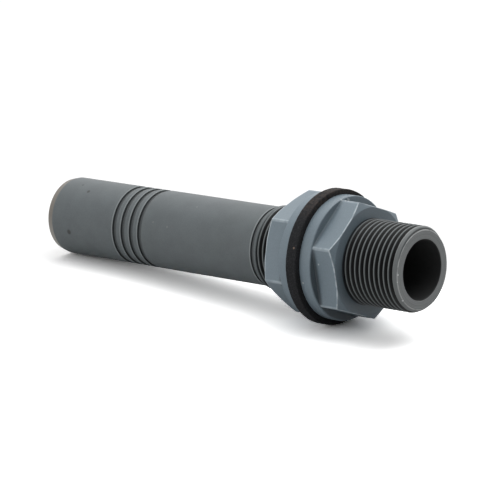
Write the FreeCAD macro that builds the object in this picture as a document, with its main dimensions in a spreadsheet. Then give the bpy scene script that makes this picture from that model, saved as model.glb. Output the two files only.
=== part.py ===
"""Tank nipple: a plastic pipe nipple with a threaded end, two flange nuts and a rubber gasket.

Each piece is drawn with the nipple's axis along X, the plain end at x = 0 and the threaded end
at +X. Every piece is then laid down as it rests: the back rim of the gasket and the rim of the
plain end touch the floor, so the axis slopes by a few degrees. Lengths are in millimetres.
"""
import os

import FreeCAD, Part

DOCUMENT_NAME = "tank_nipple"
OUTPUT_FOLDER = "parts"

# Alias, value, what it is. Later rows may use earlier ones.
DIMENSIONS = [
    ("nipple_length", "145 mm", "overall length of the nipple"),
    ("bore_diameter", "18.5 mm", "waterway through the nipple"),
    ("tube_diameter", "25 mm", "outside of the plain tube"),
    ("spigot_chamfer_length", "2.6 mm", "lead-in chamfer at the plain end, along the axis"),
    ("spigot_chamfer_depth", "0.65 mm", "lead-in chamfer at the plain end, across the axis"),
    ("ring_count", "4", "saw-tooth grip rings cut in the tube"),
    ("ring_pitch", "3.62 mm", "spacing of the grip rings"),
    ("ring_depth", "0.55 mm", "height of a ring's steep wall"),
    ("ring_ramp_length", "2 mm", "length of the ramp behind a ring's steep wall"),
    ("first_ring_distance", "29.3 mm", "first steep wall from the plain end"),
    ("thread_major_diameter", "26.44 mm", "crest diameter of the 3/4 inch parallel pipe thread"),
    ("thread_minor_diameter", "24.12 mm", "root diameter of the same thread"),
    ("thread_pitch", "1.814 mm", "14 threads to the inch"),
    ("thread_chamfer_length", "1.5 mm", "chamfer at the threaded end, along the axis"),
    ("thread_length", "55.2 mm", "full crest diameter, measured from the threaded end"),
    ("runout_length", "2.05 mm", "cone behind the thread"),
    ("runout_root_diameter", "23.9 mm", "bottom of the step between the tube and that cone"),
    ("nut_front_distance", "20.1 mm", "front nut's outer face from the threaded end"),
    ("hex_across_flats", "33 mm", "spanner size of both nuts"),
    ("hex_height", "7.7 mm", "height of a nut's hexagon above its flange"),
    ("hex_corner_circle", "33.4 mm", "circle at which the corners of the outer face are cut"),
    ("hex_corner_angle", "26 deg", "slope of that cut from the outer face"),
    ("flange_diameter", "38.5 mm", "round flange of each nut"),
    ("flange_thickness", "4.2 mm", "thickness of the flange"),
    ("flange_edge_break", "0.25 mm", "small chamfer on both rims of the flange"),
    ("thread_clearance", "0.05 mm", "radial play of the nuts and gasket on the thread"),
    ("countersink_depth", "0.3 mm", "45 degree lead-in at each end of a nut's hole"),
    ("gasket_diameter", "42.2 mm", "outside of the rubber gasket"),
    ("gasket_thickness", "3.8 mm", "thickness of the gasket"),
    ("front_nut_clocking", "6.8 deg", "turn of the front nut's first corner from straight up"),
    ("back_nut_clocking", "=-14.6 deg", "turn of the back nut's first corner from straight up"),
    ("hex_corner_radius", "=hex_across_flats / 2 / cos(30 deg)", "centre to corner of the hexagon"),
    ("nut_height", "=flange_thickness + hex_height", "whole height of a nut"),
    ("nut_bore_radius", "=thread_major_diameter / 2 + thread_clearance", "hole in nuts and gasket"),
    ("front_nut_face", "=nipple_length - nut_front_distance", "outer face of the front nut"),
    ("gasket_front", "=front_nut_face - nut_height", "gasket face against the front nut"),
    ("gasket_back", "=gasket_front - gasket_thickness", "gasket face against the back nut"),
    ("back_nut_face", "=gasket_back - nut_height", "outer face of the back nut"),
    ("rest_tilt", "=atan((gasket_diameter - tube_diameter) / 2 / (gasket_back - spigot_chamfer_length))",
     "slope of the axis when the gasket and the plain end touch the floor"),
    ("rest_lift", "=tube_diameter / 2 * cos(rest_tilt) - spigot_chamfer_length * sin(rest_tilt)",
     "height of the axis where it leaves the plain end"),
    ("rest_reach", "=(nipple_length * cos(rest_tilt) + (thread_minor_diameter - tube_diameter"
     " + 2 * spigot_chamfer_depth) / 2 * sin(rest_tilt)) / 2",
     "plain end to the middle of the length covered on the floor"),
]


def make_sheet(document):
    """Fills the spreadsheet of driving dimensions, one alias to a row."""
    sheet = document.addObject("Spreadsheet::Sheet", "dimensions")
    for row, (alias, value, note) in enumerate(DIMENSIONS, start=1):
        sheet.set("A%d" % row, alias)
        sheet.set("B%d" % row, value)
        sheet.set("C%d" % row, note)
        sheet.setAlias("B%d" % row, alias)
    document.recompute()
    return sheet


def sheet_term(formula):
    """Writes the aliases in a formula as references to the sheet."""
    aliases = sorted((row[0] for row in DIMENSIONS), key=len, reverse=True)
    words = []
    for word in formula.split(" "):
        bare = word.strip("()")
        if bare in aliases:
            word = word.replace(bare, "dimensions." + bare)
        words.append(word)
    return " ".join(words)


def profile(body, name, corners):
    """Draws a closed profile in the XZ plane. A corner is its (along, radius) pair of formulas;
    None stands for zero, and that corner is tied to the axis instead."""
    import Sketcher

    sketch = body.newObject("Sketcher::SketchObject", name)
    sketch.AttachmentSupport = (origin_feature(body, "XZ_Plane"), [""])
    sketch.MapMode = "FlatFace"
    count = len(corners)
    guesses = [(value_of(body, along), value_of(body, radius)) for along, radius in corners]
    for index in range(count):
        start = FreeCAD.Vector(guesses[index][0], guesses[index][1], 0)
        end = FreeCAD.Vector(guesses[(index + 1) % count][0], guesses[(index + 1) % count][1], 0)
        sketch.addGeometry(Part.LineSegment(start, end), False)
    for index in range(count):
        sketch.addConstraint(Sketcher.Constraint("Coincident", index, 2, (index + 1) % count, 1))
    for index, (along, radius) in enumerate(corners):
        place_corner(sketch, Sketcher, index, "along", "DistanceX", along, guesses[index][0])
        place_corner(sketch, Sketcher, index, "radius", "DistanceY", radius, guesses[index][1])
    return sketch


def place_corner(sketch, sketcher, index, label, kind, formula, guess):
    """Dimensions one coordinate of a profile's corner from the sketch's origin."""
    # A sketch numbers its origin and horizontal axis -1, its vertical axis -2, a line's start 1
    origin = -1
    start = 1
    axis = {"DistanceX": -2, "DistanceY": -1}[kind]
    if formula is None:
        sketch.addConstraint(sketcher.Constraint("PointOnObject", index, start, axis))
        return
    number = sketch.addConstraint(sketcher.Constraint(kind, origin, start, index, start, guess))
    name = "%s_%d" % (label, index + 1)
    sketch.renameConstraint(number, name)
    sketch.setExpression("Constraints." + name, sheet_term(formula))


def value_of(body, formula):
    """Works out a formula's present value, as the first guess for the sketch solver."""
    if formula is None:
        return 0.0
    value = body.evalExpression(sheet_term(formula))
    return float(getattr(value, "Value", value))


def origin_feature(body, role):
    """Finds one of a body's own planes or axes."""
    return next(item for item in body.Origin.OriginFeatures if item.Role == role)


def revolved(body, kind, name, sketch):
    """Turns a profile about the nipple's axis, as material or as a cut."""
    feature = body.newObject(kind, name)
    feature.Profile = sketch
    feature.ReferenceAxis = (sketch, ["H_Axis"])
    feature.Angle = 360
    sketch.Visibility = False
    return feature


def lay_down(body):
    """Places a body in the resting pose that all the pieces share."""
    body.setExpression("Placement", (
        "placement(vector(-dimensions.rest_reach; 0 mm; dimensions.rest_lift);"
        " rotation(vector(0; 1; 0); -dimensions.rest_tilt))"))


def make_nipple(document):
    """The tube with its bore, run-out step, threaded end at crest diameter and grip rings."""
    body = document.addObject("PartDesign::Body", "nipple")
    bore = "bore_diameter / 2"
    tube = "tube_diameter / 2"
    crest = "thread_major_diameter / 2"
    step = "nipple_length - thread_length - runout_length"
    section = profile(body, "nipple_section", [
        (None, bore),
        (None, "tube_diameter / 2 - spigot_chamfer_depth"),
        ("spigot_chamfer_length", tube),
        (step, tube),
        (step, "runout_root_diameter / 2"),
        ("nipple_length - thread_length", crest),
        ("nipple_length - thread_chamfer_length", crest),
        ("nipple_length", "thread_minor_diameter / 2"),
        ("nipple_length", bore),
    ])
    revolved(body, "PartDesign::Revolution", "nipple_turned", section)
    notch = profile(body, "ring_notch_section", [
        ("first_ring_distance", "tube_diameter / 2 - ring_depth"),
        ("first_ring_distance", "tube_diameter / 2 + ring_depth"),
        ("first_ring_distance + 2 * ring_ramp_length", "tube_diameter / 2 + ring_depth"),
    ])
    groove = revolved(body, "PartDesign::Groove", "ring_notch", notch)
    pattern = body.newObject("PartDesign::LinearPattern", "grip_rings")
    pattern.Originals = [groove]
    pattern.Direction = (notch, ["H_Axis"])
    pattern.setExpression("Length", sheet_term("ring_pitch * ( ring_count - 1 )"))
    pattern.setExpression("Occurrences", sheet_term("ring_count"))
    body.Tip = pattern
    lay_down(body)
    return body


def make_gasket(document):
    """A flat rubber ring between the two flanges."""
    body = document.addObject("PartDesign::Body", "gasket")
    section = profile(body, "gasket_section", [
        ("gasket_back", "nut_bore_radius"),
        ("gasket_back", "gasket_diameter / 2"),
        ("gasket_front", "gasket_diameter / 2"),
        ("gasket_front", "nut_bore_radius"),
    ])
    revolved(body, "PartDesign::Revolution", "gasket_ring", section)
    lay_down(body)
    return body


def make_nut(document, name, flange_face, side, clocking):
    """A flange nut whose flange face is at flange_face. side is + when the hexagon points to the
    threaded end and - when it points to the plain end."""
    body = document.addObject("PartDesign::Body", name)
    outer_face = "%s %s nut_height" % (flange_face, side)
    hex_foot = "%s %s flange_thickness" % (flange_face, side)
    rim = "flange_diameter / 2"

    # Round flange, its two rims slightly broken
    flange = profile(body, name + "_flange_section", [
        (flange_face, None),
        (flange_face, "flange_diameter / 2 - flange_edge_break"),
        ("%s %s flange_edge_break" % (flange_face, side), rim),
        ("%s %s flange_thickness %s flange_edge_break" % (flange_face, side, "-" if side == "+" else "+"), rim),
        (hex_foot, "flange_diameter / 2 - flange_edge_break"),
        (hex_foot, None),
    ])
    revolved(body, "PartDesign::Revolution", name + "_flange", flange)

    # Hexagon, standing on the flange
    hexagon = body.newObject("PartDesign::AdditivePrism", name + "_hexagon")
    hexagon.Polygon = 6
    hexagon.setExpression("Circumradius", sheet_term("hex_corner_radius"))
    hexagon.setExpression("Height", sheet_term("nut_height"))
    hexagon.AttachmentSupport = (origin_feature(body, "YZ_Plane"), [""])
    hexagon.MapMode = "FlatFace"
    foot = flange_face if side == "+" else outer_face
    hexagon.setExpression("AttachmentOffset", (
        "placement(vector(0 mm; 0 mm; %s); rotation(vector(0; 0; 1); 90 deg + %s))"
        % (sheet_term(foot), sheet_term(clocking))))

    # Corners of the outer face, cut by a flat cone
    corner_reach = "hex_corner_radius + 1 mm"
    corner_drop = "( hex_corner_radius + 1 mm - hex_corner_circle / 2 ) * tan(dimensions.hex_corner_angle)"
    corners = profile(body, name + "_corner_section", [
        (outer_face, "hex_corner_circle / 2"),
        ("%s %s 1 mm" % (outer_face, side), "hex_corner_circle / 2"),
        ("%s %s 1 mm" % (outer_face, side), corner_reach),
        ("%s %s %s" % (outer_face, "-" if side == "+" else "+", corner_drop), corner_reach),
    ])
    revolved(body, "PartDesign::Groove", name + "_corners", corners)

    # Hole at the thread's crest diameter, countersunk at both ends
    low_face, high_face = (flange_face, outer_face) if side == "+" else (outer_face, flange_face)
    wide = "nut_bore_radius + countersink_depth"
    hole = profile(body, name + "_hole_section", [
        (low_face, None),
        (low_face, wide),
        (low_face + " + countersink_depth", "nut_bore_radius"),
        (high_face + " - countersink_depth", "nut_bore_radius"),
        (high_face, wide),
        (high_face, None),
    ])
    body.Tip = revolved(body, "PartDesign::Groove", name + "_hole", hole)
    lay_down(body)
    return body


def check_document(document):
    """Stops the build where any object failed to compute."""
    for item in document.Objects:
        if "Invalid" in item.State or "Error" in item.State:
            raise RuntimeError("%s did not compute: %s" % (item.Name, item.State))


def export(body):
    """Checks one finished piece and writes it as STEP."""
    shape = body.Shape
    if shape.isNull() or not shape.isValid() or len(shape.Solids) != 1:
        raise RuntimeError("%s is not one valid solid" % body.Name)
    shape.exportStep(os.path.join(OUTPUT_FOLDER, body.Name + ".step"))
    box = shape.BoundBox
    print("%-10s volume %9.1f mm3  x %8.3f %8.3f  y %8.3f %8.3f  z %8.3f %8.3f" % (
        body.Name, shape.Volume, box.XMin, box.XMax, box.YMin, box.YMax, box.ZMin, box.ZMax))


def main():
    document = FreeCAD.newDocument(DOCUMENT_NAME)
    sheet = make_sheet(document)
    bodies = [
        make_nipple(document),
        make_nut(document, "back_nut", "gasket_back", "-", "back_nut_clocking"),
        make_gasket(document),
        make_nut(document, "front_nut", "gasket_front", "+", "front_nut_clocking"),
    ]
    document.recompute()
    check_document(document)
    os.makedirs(OUTPUT_FOLDER, exist_ok=True)
    for body in bodies:
        export(body)
    print("rest tilt %.4f deg" % sheet.rest_tilt.Value)


main()
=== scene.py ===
"""Dresses the tank nipple: threaded plastic pipe nipple, two flange nuts and a rubber gasket.

Each piece is built along the nipple's own axis, with the plain end at 0 and the threaded end at
NIPPLE_LENGTH, in millimetres. It is then scaled to metres and laid down as the solids lie.
"""

import bisect
import math

import bmesh
import bpy
from mathutils import Matrix, Vector, noise

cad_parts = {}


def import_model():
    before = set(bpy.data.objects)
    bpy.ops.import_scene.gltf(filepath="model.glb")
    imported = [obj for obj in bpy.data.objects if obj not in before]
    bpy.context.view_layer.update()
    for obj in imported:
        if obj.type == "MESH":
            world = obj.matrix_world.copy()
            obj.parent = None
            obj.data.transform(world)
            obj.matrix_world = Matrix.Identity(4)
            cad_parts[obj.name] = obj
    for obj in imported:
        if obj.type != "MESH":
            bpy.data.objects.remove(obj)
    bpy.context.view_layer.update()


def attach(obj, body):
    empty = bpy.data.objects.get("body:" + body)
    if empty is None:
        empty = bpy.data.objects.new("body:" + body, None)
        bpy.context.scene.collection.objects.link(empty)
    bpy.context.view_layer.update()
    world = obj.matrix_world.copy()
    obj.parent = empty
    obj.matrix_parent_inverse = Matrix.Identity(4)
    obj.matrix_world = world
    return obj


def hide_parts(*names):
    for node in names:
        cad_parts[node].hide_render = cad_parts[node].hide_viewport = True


TAU = 2 * math.pi
MM = 0.001

# Nipple
NIPPLE_LENGTH = 145.0
BORE_RADIUS = 9.25
BORE_EDGE_BREAK = 0.2
BORE_RING = 0.6
TUBE_RADIUS = 12.5
SPIGOT_CHAMFER_LENGTH = 2.6
SPIGOT_CHAMFER_DEPTH = 0.65
FIRST_RING = 29.3
RING_PITCH = 3.62
RING_COUNT = 4
RING_DEPTH = 0.55
RING_RAMP = 2.0
LAST_RING = FIRST_RING + (RING_COUNT - 1) * RING_PITCH
STEP_PLACE = 87.75
STEP_RADIUS = 11.95
CREST_PLACE = 89.8
NIPPLE_COLUMNS = 160
NIPPLE_SUPPORT = 0.2
# Roundings of the nipple's edges
BORE_EDGE_ROUNDING = 0.05
SPIGOT_FACE_ROUNDING = 0.25
SPIGOT_CHAMFER_ROUNDING = 0.8
WALL_EDGE_ROUNDING = 0.1
RING_FOOT_ROUNDING = 0.06
RING_RAMP_ROUNDING = 0.6
STEP_FOOT_ROUNDING = 0.08
CREST_ROUNDING = 0.3

# Thread
CREST_RADIUS = 13.22
ROOT_RADIUS = 12.06
THREAD_PITCH = 1.814
THREAD_START = 90.4
THREAD_FADE = 0.6
THREAD_PHASE = -0.137
THREAD_DEPTH = CREST_RADIUS - ROOT_RADIUS
# Half of the thread's form: share of the pitch from a crest, and share of the depth there
THREAD_REACHES = (0.0, 0.08, 0.125, 0.15, 0.375, 0.43, 0.5)
THREAD_DROPS = (0.0, 0.015, 0.06, 0.14, 0.86, 0.97, 1.0)

# Threaded end
END_CHAMFER_PLACE = 143.5
END_CHAMFER_LENGTH = NIPPLE_LENGTH - END_CHAMFER_PLACE
END_CHAMFER_ROWS = 22
# Points from the face's outer edge into the bore: distance behind the face, and radius
END_FACE = (
    (0.02, ROOT_RADIUS - 0.03),
    (0.0, ROOT_RADIUS - 0.1),
    (0.0, ROOT_RADIUS - 0.25),
    (0.0, BORE_RADIUS + 0.4),
    (0.0, BORE_RADIUS + 0.2),
    (0.08, BORE_RADIUS + 0.06),
    (0.3, BORE_RADIUS),
    (BORE_RING, BORE_RADIUS),
)

# Nuts
HEX_SIDES = 6
HEX_STEP = TAU / HEX_SIDES
HEX_APOTHEM = 16.5
HEX_HEIGHT = 7.7
HEX_CORNER_ROUNDING = 0.6
HEX_CUT_RADIUS = 16.7
HEX_CUT_SLOPE = math.tan(math.radians(26))
HEX_EDGE_BREAK = 0.12
HEX_FOOT_ROUNDING = 0.3
HEX_FOOT_GAP = 0.02
FLANGE_RADIUS = 19.25
FLANGE_THICKNESS = 4.2
FLANGE_EDGE_BREAK = 0.2
NUT_EDGE_ROUNDING = 0.12
NUT_HEIGHT = FLANGE_THICKNESS + HEX_HEIGHT
NUT_HOLE_RADIUS = 12.35
NUT_HOLE_BREAK = 0.08
NUT_FACE_INNER_RADIUS = CREST_RADIUS + 0.25
NUT_THREAD_PLAY = 0.05
NUT_SUPPORT = 0.25
FRONT_NUT_CLOCKING = math.radians(6.8)
BACK_NUT_CLOCKING = math.radians(-14.6)
# Radii between which the painted shade at the hexagon's foot ends and the wear and painted
# highlight on its corners begins
FOOT_SHADE_RADII = (18.6, 19.1)
CORNER_WEAR_HIGHLIGHT_RADII = (18.65, 18.85)
# Columns of points round a nut, in degrees: those about a corner, and the steps between them
CORNER_COLUMNS = (-0.9, -0.45, 0, 0.45, 0.9)
CORNER_SPREAD = CORNER_COLUMNS[-1]
SIDE_STEPS = 24
SIDE_SPREAD = 360 / HEX_SIDES - 2 * CORNER_SPREAD

# Gasket
GASKET_BACK = 109.2
GASKET_FRONT = 113.0
GASKET_RADIUS = 21.1
GASKET_HOLE_RADIUS = 13.27
GASKET_EDGE_ROUNDING = 0.3
GASKET_COLUMNS = 320
GASKET_ROW = 0.45
GASKET_SUPPORT = 0.25
# Its rim is punched slightly short, and off centre towards its lean
GASKET_RIM_START = FLANGE_RADIUS + 0.3
GASKET_SHORT = 0.16
GASKET_OFF_CENTRE = 0.14
GASKET_LEAN = math.atan2(-0.87, -0.5)
# The rim has long and short waves, each with a height and a scale of noise
GASKET_WAVES = ((0.05, 0.55), (0.06, 2.4))
GASKET_WAVE_CIRCLE = 9
GASKET_WAVE_STRETCH = 0.9

# Resting pose: slope of the axis, height of the axis at the plain end, and that end's place
REST_TILT = math.atan((GASKET_RADIUS - TUBE_RADIUS) / (GASKET_BACK - SPIGOT_CHAMFER_LENGTH))
REST_LIFT = TUBE_RADIUS * math.cos(REST_TILT) - SPIGOT_CHAMFER_LENGTH * math.sin(REST_TILT)
REST_REACH = (NIPPLE_LENGTH * math.cos(REST_TILT)
              + (ROOT_RADIUS - TUBE_RADIUS + SPIGOT_CHAMFER_DEPTH) * math.sin(REST_TILT)) / 2

# Colours, as linear red, green and blue. A pair is what a colour varies between
TUBE_GREYS = ((0.085, 0.101, 0.104), (0.094, 0.108, 0.116))
# Wear with a painted highlight on the edges before the steep walls
WORN_HIGHLIGHT_GREY = (0.18, 0.2, 0.205)
# Painted highlight on the thread's crests
CREST_HIGHLIGHT_GREY = (0.112, 0.123, 0.125)
CHAMFER_GREY = (0.14, 0.15, 0.152)
# Painted highlight on the chamfer's first edge
CHAMFER_EDGE_HIGHLIGHT_GREY = (0.26, 0.275, 0.275)
TURNED_GREYS = ((0.13, 0.139, 0.141), (0.222, 0.233, 0.235))
# Painted highlight on the end face's rim
FACE_EDGE_HIGHLIGHT_GREY = (0.34, 0.35, 0.35)
# Cut browns, the paler one for painted light on the lower part
CUT_BROWNS_LIT_BELOW = ((0.15, 0.135, 0.117), (0.27, 0.262, 0.245))
# Painted shade in the bore
BORE_SHADE_GREY = (0.024, 0.025, 0.0255)
NIPPLE_DARK_SPECK = (0.035, 0.037, 0.038)
NIPPLE_PALE_SPECK = (0.15, 0.165, 0.168)
NICK_GREY = (0.6, 0.61, 0.6)
NUT_BLUES = ((0.137, 0.179, 0.21), (0.154, 0.197, 0.228))
# Painted shade in the nuts' holes
NUT_HOLE_SHADE_BLUE = (0.05, 0.06, 0.07)
# Wear with a painted highlight on the nuts' edges
NUT_WORN_HIGHLIGHT_BLUE = (0.46, 0.52, 0.56)
NUT_SPECK = (0.4, 0.44, 0.46)
RUBBER_BLACKS = ((0.0085, 0.009, 0.0104), (0.0135, 0.0142, 0.0158))
PORE_GREY = (0.038, 0.039, 0.042)
# Dust and painted light on the gasket's top
DUST_AND_LIGHT_BROWN = (0.056, 0.044, 0.038)
GASKET_SPECK = (0.16, 0.12, 0.095)

# Share of a mark's radius that it covers fully
MARK_CORE = 0.4
# Marks: their places along, across and up from the axis, and their radii
NIPPLE_DARK_MARKS = (
    ((9.67, -12.35, -1.94), 1.15),
    ((14.02, -6.37, 10.75), 0.8),
    ((9.34, -3.95, 11.86), 0.5),
)
NIPPLE_PALE_MARKS = (
    ((52.65, -11.55, 4.77), 0.4),
    ((46.39, -11.2, 5.56), 0.35),
    ((60.92, -6.0, 10.97), 0.35),
)
NICKS = (
    ((145.0, -11.67, 1.33), 0.38),
    ((145.0, -9.93, -7.11), 0.45),
    ((144.9, -12.0, -0.8), 0.25),
)
NUT_PALE_MARKS = (
    ((114.07, -18.93, -3.47), 0.4),
    ((116.85, -17.12, 4.24), 0.35),
    ((118.88, -16.91, 2.43), 0.35),
    ((117.2, 0.48, 18.62), 0.45),
    ((117.2, 0.97, 18.27), 0.4),
    ((117.1, -2.5, 19.02), 0.4),
    ((118.6, -2.25, 18.87), 0.45),
    ((119.7, -2.25, 18.87), 0.35),
)
GASKET_MARKS = (((111.85, -19.78, 7.36), 0.5),)

# Floor, in metres
FLOOR_HALF = 4.0
# The camera sees it whitest near the object, by distance on a plan shrunk along the object
FLOOR_PLAN_SCALE = (0.45, 1, 0)
FLOOR_PLAN_SHIFT = (-0.016, 0, 0)
FLOOR_NEAR = 0.03
FLOOR_FAR = 0.06
FLOOR_NEAR_WHITE = 1.9
FLOOR_FAR_WHITE = 0.9
FLOOR_OTHER_WHITE = 0.6

# Room: brightest side, lowest and highest strength, of its light and of what shows in gloss
ROOM_LIGHT = ((-0.5, -0.1, 0.85), 0.0, 0.85)
ROOM_GLOSS = ((-0.5, 0.8, 0.35), 0.1, 1.65)
# Cosines of the angles from the brightest side at which the strength starts and ends its rise
ROOM_RISE = (-0.5, 1.0)

# Soft boxes, in metres and watts: name, place, size and power
LAMPS = (
    ("key", (0.3, 0.35, 1.05), 1.0, 6.4),
    ("side", (-0.3, 0.1, 1.1), 1.2, 3.0),
    ("fill", (-0.3, -0.85, 0.3), 0.5, 2.0),
)
LAMP_AIM = (0, 0, 0.02)

# Camera: its place in metres, its directions to the right and to the back, and its lens
CAMERA_PLACE = (0.598039, -0.689146, 0.307846)
CAMERA_RIGHT = (0.757631, 0.652683, 0)
CAMERA_BACK = (0.62147, -0.721399, 0.305545)
CAMERA_LENS = 219.68

# Sockets of a Mix node, which go by number because their names repeat
MIX_SHARE = 0
MIX_VALUES = (2, 3)
MIX_COLOURS = (6, 7)
MIXED_VALUE = 0
MIXED_COLOUR = 2


def rounded(corners, steps=3, support=0.0, most=0.45):
    """Rounds the corners of an open profile of (along, radius, rounding) points.

    An arc takes at most a share, most, of each run beside it. support adds a point that far from
    each end of every long straight run, which keeps its shading flat.
    """
    places = [Vector((corner[0], corner[1])) for corner in corners]
    runs = []
    for index, place in enumerate(places):
        if index in (0, len(places) - 1):
            runs.append([place])
            continue
        before = places[index - 1] - place
        after = places[index + 1] - place
        reach = corners[index][2] * math.tan((math.pi - before.angle(after)) / 2)
        start = place + before.normalized() * min(reach, before.length * most)
        end = place + after.normalized() * min(reach, after.length * most)
        arc = []
        for step in range(steps + 1):
            share = step / steps
            middle = place * 2 * share * (1 - share)
            arc.append(start * (1 - share) ** 2 + middle + end * share ** 2)
        runs.append(arc)
    profile = list(runs[0])
    for arc in runs[1:]:
        gap = arc[0] - profile[-1]
        if support and gap.length > 4 * support:
            profile.append(profile[-1] + gap.normalized() * support)
            profile.append(arc[0] - gap.normalized() * support)
        profile.extend(arc)
    return [(point.x, point.y) for point in profile]


class Surface:
    """Points and faces of one mesh, each point given along, out from and round the axis."""

    def __init__(self):
        self.points = []
        self.faces = []

    def point(self, along, radius, turn):
        """Adds a point. turn runs from +Y to +Z."""
        self.points.append((along * MM, radius * math.cos(turn) * MM, radius * math.sin(turn) * MM))
        return len(self.points) - 1

    def ring(self, turns, along, radius):
        """Adds a ring of points, all at one place and radius."""
        return [self.point(along, radius, turn) for turn in turns]

    def face(self, numbers):
        """Adds a face, leaving out points that fall together."""
        kept = []
        for number in numbers:
            if number not in kept:
                kept.append(number)
        if len(kept) > 2:
            self.faces.append(kept)

    def bridge(self, one, other):
        """Joins two rings of equal count."""
        for index in range(len(one)):
            following = (index + 1) % len(one)
            self.face([one[index], one[following], other[following], other[index]])

    def bridge_all(self, rings):
        """Joins each ring to the next."""
        for one, other in zip(rings, rings[1:]):
            self.bridge(one, other)

    def piece(self, name, material):
        """Makes the object, laid down with the solids."""
        mesh = bpy.data.meshes.new(name)
        mesh.from_pydata(self.points, [], self.faces)
        shape = bmesh.new()
        shape.from_mesh(mesh)
        bmesh.ops.recalc_face_normals(shape, faces=shape.faces)
        shape.to_mesh(mesh)
        shape.free()
        for polygon in mesh.polygons:
            polygon.use_smooth = True
        place = Matrix.Translation((-REST_REACH * MM, 0, REST_LIFT * MM))
        mesh.transform(place @ Matrix.Rotation(-REST_TILT, 4, "Y"))
        mesh.materials.append(material)
        piece = bpy.data.objects.new(name, mesh)
        bpy.context.scene.collection.objects.link(piece)
        return piece


def even_turns(count):
    """Angles at even steps round the axis."""
    return [TAU * index / count for index in range(count)]


def thread_drop(phase):
    """Depth of the thread's form below its crest. The phase is 0 at a crest, 0.5 at a root."""
    reach = min(phase, 1 - phase)
    known = bisect.bisect_right(THREAD_REACHES, reach) - 1
    if known >= len(THREAD_REACHES) - 1:
        return THREAD_DEPTH
    share = (reach - THREAD_REACHES[known]) / (THREAD_REACHES[known + 1] - THREAD_REACHES[known])
    drop = THREAD_DROPS[known] + (THREAD_DROPS[known + 1] - THREAD_DROPS[known]) * share
    return drop * THREAD_DEPTH


def thread_radius(along, turn):
    """Radius of the right-hand thread, which deepens over its first part."""
    phase = ((along - THREAD_START) / THREAD_PITCH - turn / TAU + THREAD_PHASE) % 1
    depth = min(1, max(0, (along - THREAD_START) / THREAD_FADE))
    return CREST_RADIUS - thread_drop(phase) * depth * depth * (3 - 2 * depth)


def nut_thread_radius(along, turn):
    """Radius of a nut's hole, whose thread fills the nipple's grooves."""
    return max(thread_radius(along, turn) + NUT_THREAD_PLAY, NUT_HOLE_RADIUS)


def add_thread(surface, turns, first_ring, start, end, radius_at):
    """Adds a threaded face from start to end, with rows of points that follow the helix."""
    half = list(THREAD_REACHES)
    phases = half + [1 - reach for reach in reversed(half[1:-1])]
    known = {(column, start): first_ring[column] for column in range(len(turns))}
    first_lap = math.floor((start - THREAD_START) / THREAD_PITCH - turns[-1] / TAU) - 1
    last_lap = math.ceil((end - THREAD_START) / THREAD_PITCH - turns[0] / TAU) + 1
    rows = []
    for lap in range(first_lap, last_lap + 1):
        for phase in phases:
            row = []
            for column, turn in enumerate(turns):
                along = THREAD_START + (lap + phase - THREAD_PHASE + turn / TAU) * THREAD_PITCH
                along = round(min(end, max(start, along)), 6)
                if (column, along) not in known:
                    known[column, along] = surface.point(along, radius_at(along, turn), turn)
                row.append(known[column, along])
            rows.append(row)
    last_ring = [known[column, end] for column in range(len(turns))]
    # The first column meets the last one a lap later
    lap_rows = [row[0] for row in rows[len(phases):]] + [last_ring[0]] * len(phases)
    for number in range(len(rows) - 1):
        for column in range(len(turns)):
            if column + 1 < len(turns):
                ahead = (rows[number][column + 1], rows[number + 1][column + 1])
            else:
                ahead = (lap_rows[number], lap_rows[number + 1])
            surface.face([rows[number][column], ahead[0], ahead[1], rows[number + 1][column]])
    return last_ring


def nipple_profile():
    """Outside of the nipple, from the bore's edge at the plain end to the start of the thread."""
    corners = [
        (BORE_EDGE_BREAK, BORE_RADIUS, 0),
        (0.0, BORE_RADIUS + BORE_EDGE_BREAK, BORE_EDGE_ROUNDING),
        (0.0, TUBE_RADIUS - SPIGOT_CHAMFER_DEPTH, SPIGOT_FACE_ROUNDING),
        (SPIGOT_CHAMFER_LENGTH, TUBE_RADIUS, SPIGOT_CHAMFER_ROUNDING),
    ]
    for index in range(RING_COUNT):
        wall = FIRST_RING + index * RING_PITCH
        corners.append((wall, TUBE_RADIUS, WALL_EDGE_ROUNDING))
        corners.append((wall, TUBE_RADIUS - RING_DEPTH, RING_FOOT_ROUNDING))
        corners.append((wall + RING_RAMP, TUBE_RADIUS, RING_RAMP_ROUNDING))
    corners.append((STEP_PLACE, TUBE_RADIUS, WALL_EDGE_ROUNDING))
    corners.append((STEP_PLACE, STEP_RADIUS, STEP_FOOT_ROUNDING))
    corners.append((CREST_PLACE, CREST_RADIUS, CREST_ROUNDING))
    corners.append((THREAD_START, CREST_RADIUS, 0))
    return rounded(corners, support=NIPPLE_SUPPORT)


def end_chamfer_rings(surface, turns):
    """Adds the rings of the threaded end's chamfer, which cuts across the thread."""
    rings = []
    for row in range(1, END_CHAMFER_ROWS):
        share = row / END_CHAMFER_ROWS
        along = END_CHAMFER_PLACE + share * END_CHAMFER_LENGTH
        cone = CREST_RADIUS + (ROOT_RADIUS - CREST_RADIUS) * share
        rings.append([surface.point(along, min(cone, thread_radius(along, turn)), turn)
                      for turn in turns])
    return rings


def make_nipple(material):
    """Tube, grip rings, run-out step, thread, end chamfer, end face and bore, as one surface."""
    surface = Surface()
    turns = even_turns(NIPPLE_COLUMNS)
    outside = [surface.ring(turns, along, radius) for along, radius in nipple_profile()]
    surface.bridge_all(outside)
    thread_end = add_thread(surface, turns, outside[-1], THREAD_START, END_CHAMFER_PLACE,
                            thread_radius)
    rings = [thread_end] + end_chamfer_rings(surface, turns)
    for behind, radius in END_FACE:
        rings.append(surface.ring(turns, NIPPLE_LENGTH - behind, radius))
    rings.append(surface.ring(turns, BORE_RING, BORE_RADIUS))
    surface.bridge_all(rings + [outside[0]])
    return surface.piece("nipple_visual", material)


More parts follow.
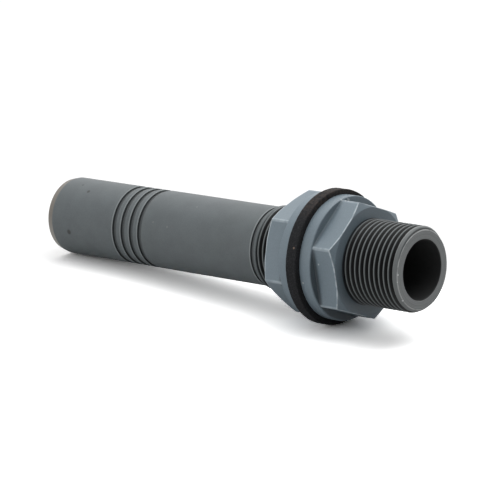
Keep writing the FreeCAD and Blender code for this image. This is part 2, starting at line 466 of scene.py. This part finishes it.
def hex_radius(turn):
    """Radius of the hexagon with slightly rounded corners, one corner at turn 0."""
    half_step = HEX_STEP / 2
    from_corner = abs((turn + half_step) % HEX_STEP - half_step)
    inset = HEX_APOTHEM - HEX_CORNER_ROUNDING
    corner_end = half_step - math.atan(inset * math.tan(half_step) / HEX_APOTHEM)
    if from_corner > corner_end:
        return HEX_APOTHEM / math.cos(half_step - from_corner)
    centre = inset / math.cos(half_step)
    side = centre * math.sin(from_corner)
    return centre * math.cos(from_corner) + math.sqrt(HEX_CORNER_ROUNDING ** 2 - side ** 2)


def nut_profile(turn):
    """Outside of a nut at one angle, from beside the hole on the flange face to the outer face."""
    hexagon = hex_radius(turn)
    flat_rim = FLANGE_RADIUS - FLANGE_EDGE_BREAK
    foot_reach = max(hexagon + HEX_FOOT_GAP, flat_rim)
    foot_level = FLANGE_THICKNESS - (foot_reach - flat_rim)
    cut = max(HEX_EDGE_BREAK, hexagon - HEX_CUT_RADIUS)
    cut_depth = max(HEX_EDGE_BREAK, (hexagon - HEX_CUT_RADIUS) * HEX_CUT_SLOPE + HEX_EDGE_BREAK / 2)
    return rounded([
        (0, NUT_FACE_INNER_RADIUS, 0),
        (0, flat_rim, NUT_EDGE_ROUNDING),
        (FLANGE_EDGE_BREAK, FLANGE_RADIUS, NUT_EDGE_ROUNDING),
        (FLANGE_THICKNESS - FLANGE_EDGE_BREAK, FLANGE_RADIUS, NUT_EDGE_ROUNDING),
        (foot_level, foot_reach, NUT_EDGE_ROUNDING),
        (min(foot_level, FLANGE_THICKNESS), hexagon, HEX_FOOT_ROUNDING),
        (NUT_HEIGHT - cut_depth, hexagon, NUT_EDGE_ROUNDING),
        (NUT_HEIGHT, hexagon - cut, NUT_EDGE_ROUNDING),
        (NUT_HEIGHT, NUT_FACE_INNER_RADIUS, 0),
    ], support=NUT_SUPPORT)


def nut_turns():
    """Angles round a nut, closer together at the hexagon's six corners."""
    turns = []
    for side in range(HEX_SIDES):
        corner = side * 360 / HEX_SIDES
        for offset in CORNER_COLUMNS:
            turns.append(math.radians(corner + offset))
        for step in range(1, SIDE_STEPS):
            turns.append(math.radians(corner + CORNER_SPREAD + step * SIDE_SPREAD / SIDE_STEPS))
    return turns


def nut_hole_ring(surface, turns, along, beyond):
    """Adds a ring that lies beyond the nut's thread by a given distance."""
    return [surface.point(along, nut_thread_radius(along, turn) + beyond, turn) for turn in turns]


def make_nut(name, flange_face, side, clocking, material):
    """A flange nut. side is +1 where the hexagon points to the threaded end, else -1."""
    surface = Surface()
    # Clocking runs from straight up towards -Y
    first_corner = TAU / 4 + clocking
    turns = [turn + first_corner for turn in nut_turns()]
    start, end = sorted((flange_face, flange_face + side * NUT_HEIGHT))
    start_ring = nut_hole_ring(surface, turns, start, 0)
    start_edge = nut_hole_ring(surface, turns, start, NUT_HOLE_BREAK)
    end_edge = nut_hole_ring(surface, turns, end, NUT_HOLE_BREAK)
    end_ring = add_thread(surface, turns, start_ring, start, end, nut_thread_radius)
    first_rings = [start_ring, start_edge]
    last_rings = [end_edge, end_ring]
    if side < 0:
        first_rings, last_rings = last_rings[::-1], first_rings[::-1]
    profiles = [nut_profile(turn - first_corner) for turn in turns]
    outside = []
    for level in zip(*profiles):
        outside.append([surface.point(flange_face + side * along, radius, turn)
                        for turn, (along, radius) in zip(turns, level)])
    surface.bridge_all(first_rings + outside + last_rings)
    piece = surface.piece(name, material)
    weighted = piece.modifiers.new("flat_faces", "WEIGHTED_NORMAL")
    weighted.weight = 90
    return piece


def gasket_reach(along, radius, turn):
    """Radius at a point of the gasket, whose rim is a little off centre and a little uneven."""
    if radius < GASKET_RIM_START:
        return radius
    # The waves are read from noise on a circle, and so meet after a turn
    spot = Vector((along * GASKET_WAVE_STRETCH, GASKET_WAVE_CIRCLE * math.cos(turn),
                   GASKET_WAVE_CIRCLE * math.sin(turn)))
    uneven = sum(height * noise.noise(spot * scale) for height, scale in GASKET_WAVES)
    return radius - GASKET_SHORT + GASKET_OFF_CENTRE * math.cos(turn - GASKET_LEAN) + uneven


def gasket_profile():
    """The gasket's section, with points close enough together for the uneven rim."""
    profile = rounded([
        (GASKET_BACK, GASKET_HOLE_RADIUS, 0),
        (GASKET_BACK, GASKET_RADIUS, GASKET_EDGE_ROUNDING),
        (GASKET_FRONT, GASKET_RADIUS, GASKET_EDGE_ROUNDING),
        (GASKET_FRONT, GASKET_HOLE_RADIUS, 0),
    ], support=GASKET_SUPPORT)
    fuller = []
    for one, other in zip(profile, profile[1:]):
        gap = Vector(other) - Vector(one)
        parts = max(1, int(gap.length / GASKET_ROW))
        for part in range(parts):
            fuller.append(tuple(Vector(one) + gap * (part / parts)))
    fuller.append(profile[-1])
    return fuller


def make_gasket(material):
    """A punched rubber ring whose rim and edges are slightly uneven."""
    surface = Surface()
    turns = even_turns(GASKET_COLUMNS)
    rings = []
    for along, radius in gasket_profile():
        rings.append([surface.point(along, gasket_reach(along, radius, turn), turn)
                      for turn in turns])
    surface.bridge_all(rings + [rings[0]])
    return surface.piece("gasket_visual", material)


class Nodes:
    """Adds nodes to one tree and links them."""

    def __init__(self, tree):
        self.tree = tree

    def add(self, kind):
        """Adds a shader node."""
        return self.tree.nodes.new("ShaderNode" + kind)

    def put(self, value, socket):
        """Links an output to a socket, or writes a plain value there."""
        if isinstance(value, bpy.types.NodeSocket):
            self.tree.links.new(value, socket)
        else:
            socket.default_value = value

    def maths(self, operation, *values):
        """One sum of plain values."""
        node = self.add("Math")
        node.operation = operation
        for value, socket in zip(values, node.inputs):
            self.put(value, socket)
        return node.outputs[0]

    def vector_maths(self, operation, *values):
        """One sum of vectors. Gives both of its outputs, the vector and the plain value."""
        node = self.add("VectorMath")
        node.operation = operation
        for value, socket in zip(values, node.inputs):
            self.put(value, socket)
        return node.outputs

    def rise(self, value, low, high, start=0.0, end=1.0):
        """Goes smoothly from start to end while the value goes from low to high."""
        node = self.add("MapRange")
        node.interpolation_type = "SMOOTHSTEP"
        node.inputs["From Min"].default_value = low
        node.inputs["From Max"].default_value = high
        node.inputs["To Min"].default_value = start
        node.inputs["To Max"].default_value = end
        self.put(value, node.inputs["Value"])
        return node.outputs["Result"]

    def fall(self, value, low, high):
        """Goes smoothly from 1 to 0 while the value goes from low to high."""
        return self.rise(value, low, high, 1.0, 0.0)

    def both(self, one, other):
        """Where two masks meet: their product."""
        return self.maths("MULTIPLY", one, other)

    def between(self, share, one, other):
        """Goes from one value to the other."""
        node = self.add("Mix")
        self.put(share, node.inputs[MIX_SHARE])
        for value, number in zip((one, other), MIX_VALUES):
            self.put(value, node.inputs[number])
        return node.outputs[MIXED_VALUE]


class Paint(Nodes):
    """Builds the nodes of one material of the object."""

    def __init__(self, name, roughness):
        self.material = bpy.data.materials.new(name)
        self.material.use_nodes = True
        super().__init__(self.material.node_tree)
        self.shader = self.tree.nodes["Principled BSDF"]
        self.shader.inputs["Roughness"].default_value = roughness
        self.place = self.axis_place()
        apart = self.add("SeparateXYZ")
        self.put(self.place, apart.inputs[0])
        self.along, self.across, self.up = apart.outputs
        squares = [self.maths("POWER", side, 2.0) for side in (self.across, self.up)]
        self.radius = self.maths("SQRT", self.maths("ADD", *squares))

    def axis_place(self):
        """Millimetres along and across the nipple's axis, whatever its slope."""
        source = self.add("TexCoord")
        mapping = self.add("Mapping")
        level = Matrix.Rotation(REST_TILT, 3, "Y")
        mapping.inputs["Scale"].default_value = (1 / MM, 1 / MM, 1 / MM)
        mapping.inputs["Rotation"].default_value = (0, REST_TILT, 0)
        mapping.inputs["Location"].default_value = level @ Vector((REST_REACH, 0, -REST_LIFT))
        self.put(source.outputs["Object"], mapping.inputs["Vector"])
        return mapping.outputs[0]

    def hex_distance(self):
        """Distance from the axis to the nearest flat's plane, on either nut."""
        on_front = self.rise(self.along, GASKET_BACK, GASKET_FRONT)
        clocking = self.between(on_front, BACK_NUT_CLOCKING, FRONT_NUT_CLOCKING)
        turned = self.maths("SUBTRACT", self.maths("ARCTAN2", self.up, self.across), clocking)
        # The first corner is straight up, and two whole turns keep the angle above zero
        from_corner = self.maths("ADD", turned, 2 * TAU - TAU / 4)
        from_corner = self.maths("MODULO", from_corner, HEX_STEP)
        from_flat = self.maths("SUBTRACT", from_corner, HEX_STEP / 2)
        return self.maths("MULTIPLY", self.radius, self.maths("COSINE", from_flat))

    def cloud(self, scale, detail=2.0, stretch=None):
        """Noise over the piece. scale is in waves to the millimetre."""
        vector = self.place
        if stretch:
            mapping = self.add("Mapping")
            mapping.inputs["Scale"].default_value = stretch
            self.put(vector, mapping.inputs["Vector"])
            vector = mapping.outputs[0]
        node = self.add("TexNoise")
        node.inputs["Scale"].default_value = scale
        node.inputs["Detail"].default_value = detail
        self.put(vector, node.inputs["Vector"])
        return node.outputs[0]

    def turning_marks(self):
        """Noise in rings round the axis, as a cutting tool leaves them."""
        node = self.add("TexNoise")
        node.noise_dimensions = "1D"
        node.inputs["Scale"].default_value = 4.5
        node.inputs["Detail"].default_value = 3
        self.put(self.radius, node.inputs["W"])
        return node.outputs[0]

    def mixed(self, share, one, other):
        """Goes from one colour to the other."""
        node = self.add("Mix")
        node.data_type = "RGBA"
        self.put(share, node.inputs[MIX_SHARE])
        for value, number in zip((one, other), MIX_COLOURS):
            colour = value if isinstance(value, bpy.types.NodeSocket) else (*value, 1)
            self.put(colour, node.inputs[number])
        return node.outputs[MIXED_COLOUR]

    def times(self, colour, strength):
        """Makes a colour lighter or darker."""
        node = self.add("VectorMath")
        node.operation = "SCALE"
        self.put(colour, node.inputs[0])
        self.put(strength, node.inputs["Scale"])
        return node.outputs[0]

    def darker(self, colour, share):
        """Takes a share of a colour away."""
        return self.times(colour, self.maths("SUBTRACT", 1.0, share))

    def mottled(self, colour, cloud, spread, strength):
        """Varies a colour by up to strength, as a cloud goes from 0.5 by up to spread."""
        low = 0.5 - spread
        high = 0.5 + spread
        return self.times(colour, self.rise(cloud, low, high, 1 - strength, 1 + strength))

    def marks(self, spots):
        """1 inside any of the (place, radius) spots, and 0 elsewhere."""
        total = None
        for spot, radius in spots:
            distance = self.vector_maths("DISTANCE", self.place, spot)["Value"]
            mark = self.fall(distance, radius * MARK_CORE, radius)
            total = mark if total is None else self.maths("MAXIMUM", total, mark)
        return total

    def bump(self, height, distance):
        """Gives the shader a fine relief. distance is in millimetres."""
        node = self.add("Bump")
        node.inputs["Distance"].default_value = distance * MM
        self.put(height, node.inputs["Height"])
        self.put(node.outputs[0], self.shader.inputs["Normal"])

    def finish(self, colour):
        """Gives the shader its colour."""
        self.put(colour, self.shader.inputs["Base Color"])
        return self.material


def groove_depth(paint, past_chamfer):
    """Depth below the nipple's outside, which steps up from the tube to the thread's crests."""
    outside = paint.rise(paint.along, STEP_PLACE, CREST_PLACE, TUBE_RADIUS, CREST_RADIUS)
    cut_back = paint.maths("MULTIPLY", past_chamfer, THREAD_DEPTH / END_CHAMFER_LENGTH)
    outside = paint.maths("SUBTRACT", outside, paint.maths("MAXIMUM", cut_back, 0.0))
    return paint.maths("SUBTRACT", outside, paint.radius)


def groove_shade(paint, depth, on_thread):
    """Strength of the colour in the grooves, which darken with their depth."""
    ring_shade = paint.both(paint.rise(depth, 0.0, 0.2, 1.0, 0.48),
                            paint.rise(depth, 0.35, 0.5, 1.0, 0.4))
    thread_shade = paint.rise(depth, 0.02, 0.32, 1.0, 0.03)
    return paint.between(on_thread, ring_shade, thread_shade)


def nipple_wear_and_highlight(paint, depth):
    """1 on the edge in front of each steep wall of the grip rings and of the run-out step: wear
    with a painted highlight.
    """
    # Two pitches more keep the place in a ring above zero
    in_ring = paint.maths("SUBTRACT", paint.along, FIRST_RING - 2 * RING_PITCH)
    in_ring = paint.maths("MODULO", in_ring, RING_PITCH)
    before_wall = paint.rise(in_ring, RING_PITCH - 0.55, RING_PITCH - 0.25)
    on_rings = paint.both(paint.rise(paint.along, FIRST_RING - 1, FIRST_RING - 0.9),
                          paint.fall(paint.along, LAST_RING, LAST_RING + 0.1))
    at_step = paint.both(paint.rise(paint.along, STEP_PLACE - 0.6, STEP_PLACE - 0.3),
                         paint.fall(paint.along, STEP_PLACE, STEP_PLACE + 0.1))
    worn_and_lit = paint.maths("MAXIMUM", paint.both(before_wall, on_rings), at_step)
    return paint.both(worn_and_lit, paint.fall(depth, 0.05, 0.15))


def paint_threaded_end(paint, colour, depth, past_chamfer):
    """Pale chamfer with a painted highlight along its first edge, and a face with fine turning
    marks and a painted highlight on its rim.
    """
    chamfer = paint.rise(paint.along, END_CHAMFER_PLACE - 0.1, END_CHAMFER_PLACE + 0.2)
    chamfer = paint.both(chamfer, paint.fall(depth, 0.0, 0.15))
    colour = paint.mixed(chamfer, colour, CHAMFER_GREY)
    # Painted highlight along the chamfer's first edge
    first_edge_highlight = paint.both(chamfer, paint.fall(past_chamfer, 0.1, 0.45))
    colour = paint.mixed(first_edge_highlight, colour, CHAMFER_EDGE_HIGHLIGHT_GREY)
    face = paint.rise(paint.along, NIPPLE_LENGTH - 0.12, NIPPLE_LENGTH - 0.04)
    turned = paint.mixed(paint.rise(paint.turning_marks(), 0.3, 0.7), *TURNED_GREYS)
    colour = paint.mixed(face, colour, turned)
    # Painted highlight, broken by noise, on the face's outer rim
    rim = paint.both(paint.rise(paint.along, NIPPLE_LENGTH - 0.25, NIPPLE_LENGTH - 0.1),
                     paint.rise(paint.radius, ROOT_RADIUS - 0.25, ROOT_RADIUS - 0.12))
    rim = paint.both(rim, paint.rise(paint.cloud(0.35), 0.25, 0.5))
    return paint.mixed(rim, colour, FACE_EDGE_HIGHLIGHT_GREY)


def paint_plain_end(paint, colour):
    """A cut chamfer, slightly brown, with painted light that makes it paler towards the bottom."""
    # Painted light: the lower part of the chamfer is paler
    lit_below = paint.fall(paint.up, -9.0, 5.0)
    cut = paint.fall(paint.along, SPIGOT_CHAMFER_LENGTH - 0.5, SPIGOT_CHAMFER_LENGTH)
    return paint.mixed(cut, colour, paint.mixed(lit_below, *CUT_BROWNS_LIT_BELOW))


def nipple_plastic():
    """Dark grey pipe plastic: painted shade in the grooves and the bore, painted highlights on the
    crests, wear with painted highlights before the walls, and a turned end.
    """
    paint = Paint("nipple_plastic", roughness=0.56)
    colour = paint.mixed(paint.cloud(0.05), *TUBE_GREYS)
    colour = paint.mottled(colour, paint.cloud(3.0), spread=0.2, strength=0.06)
    colour = paint.mottled(colour, paint.cloud(0.16, 3.0), spread=0.15, strength=0.05)
    past_chamfer = paint.maths("SUBTRACT", paint.along, END_CHAMFER_PLACE)
    depth = groove_depth(paint, past_chamfer)
    on_thread = paint.rise(paint.along, THREAD_START, THREAD_START + 1)
    colour = paint.times(colour, groove_shade(paint, depth, on_thread))
    # Wear and painted highlight on the edges before the steep walls
    colour = paint.mixed(nipple_wear_and_highlight(paint, depth), colour, WORN_HIGHLIGHT_GREY)
    # Painted highlight: the thread's crests are given a paler grey
    crest = paint.both(on_thread, paint.fall(depth, 0.0, 0.12))
    colour = paint.mixed(crest, colour, CREST_HIGHLIGHT_GREY)
    colour = paint_threaded_end(paint, colour, depth, past_chamfer)
    colour = paint_plain_end(paint, colour)
    # Painted shade: the bore is made nearly black
    bore = paint.fall(paint.radius, BORE_RADIUS + 0.05, BORE_RADIUS + 0.2)
    colour = paint.mixed(bore, colour, BORE_SHADE_GREY)
    colour = paint.mixed(paint.marks(NIPPLE_DARK_MARKS), colour, NIPPLE_DARK_SPECK)
    colour = paint.mixed(paint.marks(NIPPLE_PALE_MARKS), colour, NIPPLE_PALE_SPECK)
    colour = paint.mixed(paint.marks(NICKS), colour, NICK_GREY)
    paint.bump(paint.cloud(1.6, 3.0, stretch=(0.35, 1, 1)), distance=0.012)
    return paint.finish(colour)


def foot_shade(paint, reach):
    """Share of shade in the corner at the hexagon's foot, least at the top of the nut."""
    foot = paint.both(paint.rise(reach, FLANGE_THICKNESS - 0.1, FLANGE_THICKNESS - 0.02),
                      paint.fall(reach, FLANGE_THICKNESS + 0.2, FLANGE_THICKNESS + 1.6))
    foot = paint.both(foot, paint.fall(paint.radius, *FOOT_SHADE_RADII))
    return paint.both(foot, paint.rise(paint.up, 2.0, 14.0, 0.55, 0.15))


def face_shade(paint, reach):
    """Share of painted shade on a nut's outer face, thickest beside the thread and low down."""
    beside_thread = paint.rise(paint.radius, CREST_RADIUS, CREST_RADIUS + 4.5, 0.35, 0.08)
    painted_shade = paint.both(paint.rise(reach, NUT_HEIGHT - 0.2, NUT_HEIGHT - 0.05), beside_thread)
    return paint.both(painted_shade, paint.rise(paint.up, -2.0, 14.0, 1.0, 0.25))


def nut_wear_and_highlight(paint, reach):
    """Share of wear and painted highlight on the edges of the hexagon's outer face and on its six
    corners.
    """
    cut_drop = paint.maths("SUBTRACT", paint.radius, HEX_CUT_RADIUS)
    cut_drop = paint.maths("MULTIPLY", cut_drop, HEX_CUT_SLOPE)
    below_top = paint.maths("SUBTRACT", NUT_HEIGHT, paint.maths("MAXIMUM", cut_drop, 0.0))
    below_top = paint.maths("SUBTRACT", below_top, reach)
    top_edge = paint.both(paint.fall(below_top, 0.2, 0.45),
                          paint.rise(paint.hex_distance(), HEX_APOTHEM - 0.25, HEX_APOTHEM - 0.1))
    corner = paint.both(paint.rise(reach, FLANGE_THICKNESS + 0.1, FLANGE_THICKNESS + 0.2),
                        paint.rise(paint.radius, *CORNER_WEAR_HIGHLIGHT_RADII, 0.0, 0.45))
    worn_and_lit = paint.maths("MAXIMUM", top_edge, corner)
    return paint.both(worn_and_lit, paint.rise(paint.cloud(0.5), 0.3, 0.6, 0.3, 0.9))


def nut_plastic():
    """Blue-grey moulded plastic: faint mottle, painted shade at the foot, in the hole and on the
    outer face, wear with painted highlights on the edges, and pale specks.
    """
    paint = Paint("nut_plastic", roughness=0.45)
    colour = paint.mixed(paint.cloud(0.09), *NUT_BLUES)
    colour = paint.mottled(colour, paint.cloud(2.5), spread=0.2, strength=0.05)
    # Painted shade inside the nut's threaded hole
    hole = paint.fall(paint.radius, CREST_RADIUS + 0.03, CREST_RADIUS + 0.2)
    colour = paint.mixed(hole, colour, NUT_HOLE_SHADE_BLUE)
    # Distance out from the gasket, which is the same on both nuts
    gasket_middle = (GASKET_BACK + GASKET_FRONT) / 2
    reach = paint.maths("ABSOLUTE", paint.maths("SUBTRACT", paint.along, gasket_middle))
    reach = paint.maths("SUBTRACT", reach, (GASKET_FRONT - GASKET_BACK) / 2)
    colour = paint.darker(colour, foot_shade(paint, reach))
    # Painted shade on the outer face beside the thread and low down
    colour = paint.darker(colour, face_shade(paint, reach))
    # Wear and painted highlight on the hexagon's edges and corners
    colour = paint.mixed(nut_wear_and_highlight(paint, reach), colour, NUT_WORN_HIGHLIGHT_BLUE)
    colour = paint.mixed(paint.marks(NUT_PALE_MARKS), colour, NUT_SPECK)
    paint.bump(paint.cloud(1.2, 3.0), distance=0.015)
    return paint.finish(colour)


def gasket_rubber():
    """Black open rubber, with a rough cut rim that is brown on top from dust and painted light from
    above.
    """
    paint = Paint("gasket_rubber", roughness=0.85)
    paint.shader.inputs["Specular IOR Level"].default_value = 0.2
    colour = paint.mixed(paint.cloud(0.3), *RUBBER_BLACKS)
    pores = paint.rise(paint.cloud(2.4, 3.0), 0.45, 0.72)
    colour = paint.mixed(paint.maths("MULTIPLY", pores, 0.55), colour, PORE_GREY)
    # Dust and painted light: brown, thickest on top
    dust_and_light = paint.both(paint.rise(paint.up, 14.0, 20.5, 0.0, 0.7),
                      paint.rise(paint.cloud(1.1, 4.0), 0.3, 0.65))
    colour = paint.mixed(dust_and_light, colour, DUST_AND_LIGHT_BROWN)
    colour = paint.mixed(paint.marks(GASKET_MARKS), colour, GASKET_SPECK)
    paint.bump(paint.cloud(2.0, 4.0), distance=0.12)
    return paint.finish(colour)


def floor_paint():
    """A matt floor, whitest to the camera round the object, so that its shadow is a pale one."""
    material = bpy.data.materials.new("floor")
    material.use_nodes = True
    material.node_tree.nodes.clear()
    nodes = Nodes(material.node_tree)
    place = nodes.add("TexCoord").outputs["Object"]
    plan = nodes.vector_maths("MULTIPLY_ADD", place, FLOOR_PLAN_SCALE, FLOOR_PLAN_SHIFT)[0]
    distance = nodes.vector_maths("LENGTH", plan)["Value"]
    white = nodes.rise(distance, FLOOR_NEAR, FLOOR_FAR, FLOOR_NEAR_WHITE, FLOOR_FAR_WHITE)
    to_camera = nodes.add("LightPath").outputs["Is Camera Ray"]
    matt = nodes.add("BsdfDiffuse")
    nodes.put(nodes.between(to_camera, FLOOR_OTHER_WHITE, white), matt.inputs["Color"])
    nodes.put(matt.outputs[0], nodes.add("OutputMaterial").inputs["Surface"])
    return material


def make_floor():
    """A pale floor that the camera sees as white outside the object's shadow."""
    mesh = bpy.data.meshes.new("floor")
    signs = ((-1, -1), (1, -1), (1, 1), (-1, 1))
    mesh.from_pydata([(x * FLOOR_HALF, y * FLOOR_HALF, 0) for x, y in signs], [], [(0, 1, 2, 3)])
    mesh.materials.append(floor_paint())
    floor = bpy.data.objects.new("floor", mesh)
    bpy.context.scene.collection.objects.link(floor)


def make_lamp(name, place, size, watts):
    """A square soft box that faces the object."""
    light = bpy.data.lights.new(name, "AREA")
    light.shape = "SQUARE"
    light.size = size
    light.energy = watts
    lamp = bpy.data.objects.new(name, light)
    lamp.location = place
    lamp.rotation_euler = (Vector(place) - Vector(LAMP_AIM)).to_track_quat("Z", "Y").to_euler()
    bpy.context.scene.collection.objects.link(lamp)


def room_part(nodes, side, low, high):
    """Strength of the room's light, which rises from low to high towards one side."""
    direction = nodes.add("TexCoord").outputs["Generated"]
    lean = nodes.vector_maths("DOT_PRODUCT", direction, Vector(side).normalized())["Value"]
    return nodes.rise(lean, *ROOM_RISE, low, high)


def make_light():
    """A pale room that is white to the camera, and three soft boxes."""
    world = bpy.data.worlds.new("room")
    bpy.context.scene.world = world
    world.use_nodes = True
    nodes = Nodes(world.node_tree)
    background = world.node_tree.nodes["Background"]
    background.inputs["Color"].default_value = (1, 1, 1, 1)
    path = nodes.add("LightPath")
    # The white backdrop behind the object shows in its gloss
    strength = nodes.between(path.outputs["Is Glossy Ray"], room_part(nodes, *ROOM_LIGHT),
                             room_part(nodes, *ROOM_GLOSS))
    strength = nodes.maths("MAXIMUM", strength, path.outputs["Is Camera Ray"])
    nodes.put(strength, background.inputs["Strength"])
    for lamp in LAMPS:
        make_lamp(*lamp)


def make_camera():
    """The photograph's view, fitted to the circles of the tube, thread, flanges and gasket."""
    camera = bpy.data.cameras.new("camera")
    camera.sensor_width = 36
    camera.lens = CAMERA_LENS
    camera.clip_start = 0.05
    camera.clip_end = 50
    holder = bpy.data.objects.new("camera", camera)
    bpy.context.scene.collection.objects.link(holder)
    right = Vector(CAMERA_RIGHT)
    back = Vector(CAMERA_BACK)
    turn = Matrix((right, back.cross(right), back)).transposed().to_4x4()
    holder.matrix_world = Matrix.Translation(CAMERA_PLACE) @ turn
    bpy.context.scene.camera = holder


def main():
    """Builds the stage and the four pieces, ties each piece to its body and hides the solid it
    stands in for.
    """
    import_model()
    bpy.context.scene.view_settings.view_transform = "Standard"
    make_camera()
    make_light()
    make_floor()
    nut_finish = nut_plastic()
    nipple = make_nipple(nipple_plastic())
    back_nut = make_nut("back_nut_visual", GASKET_BACK, -1, BACK_NUT_CLOCKING, nut_finish)
    gasket = make_gasket(gasket_rubber())
    front_nut = make_nut("front_nut_visual", GASKET_FRONT, 1, FRONT_NUT_CLOCKING, nut_finish)
    for piece, node, body, slot in (
            (nipple, "nipple", "nipple", "nipple_plastic"),
            (back_nut, "back_nut", "nipple", "nut_plastic"),
            (gasket, "gasket", "gasket", "gasket_rubber"),
            (front_nut, "front_nut", "front_nut", "nut_plastic")):
        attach(piece, body)
        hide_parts(node)


main()
